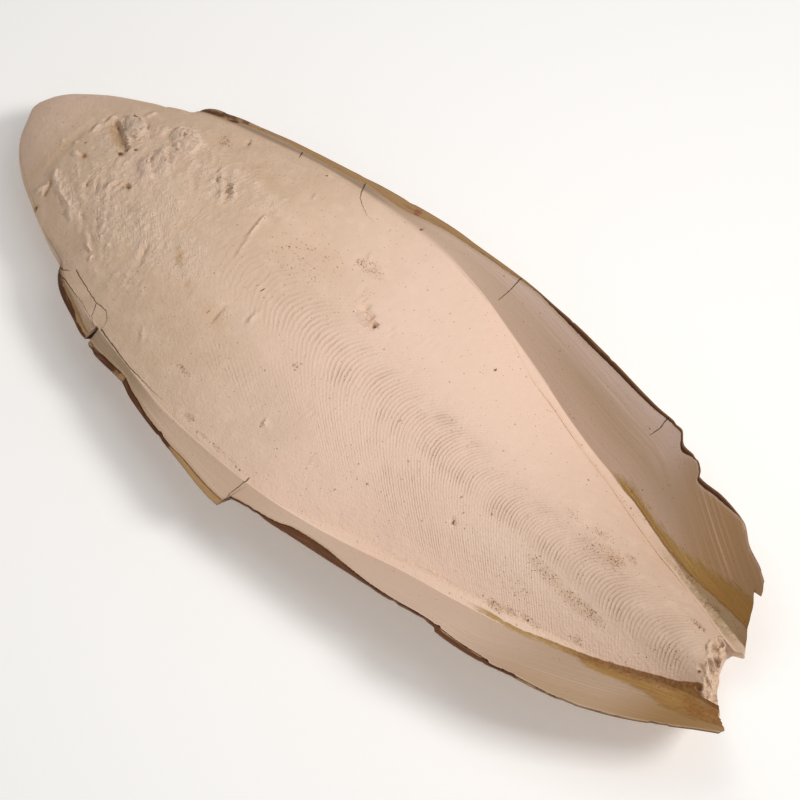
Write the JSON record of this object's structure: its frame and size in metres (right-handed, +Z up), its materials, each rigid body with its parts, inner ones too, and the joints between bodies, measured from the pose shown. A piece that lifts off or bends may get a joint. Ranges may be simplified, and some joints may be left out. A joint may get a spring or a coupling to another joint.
{
  "type": "cuttlebone",
  "caption": "Long oval chalky shell with a domed layered body, a thin shield whose wings rise around it towards a broken tail, and a rounded scarred nose.",
  "frame": {"origin": "centre of the outline at the height of the surface it lies on", "axes": "+X from the rounded nose to the broken tail, +Y across, +Z up out of the layered side"},
  "size_m": [0.1866, 0.0736, 0.019],
  "materials": {
    "bone": "matte"
  },
  "bodies": {
    "root": {"cuttlebone": "bone"}
  },
  "joints": []
}
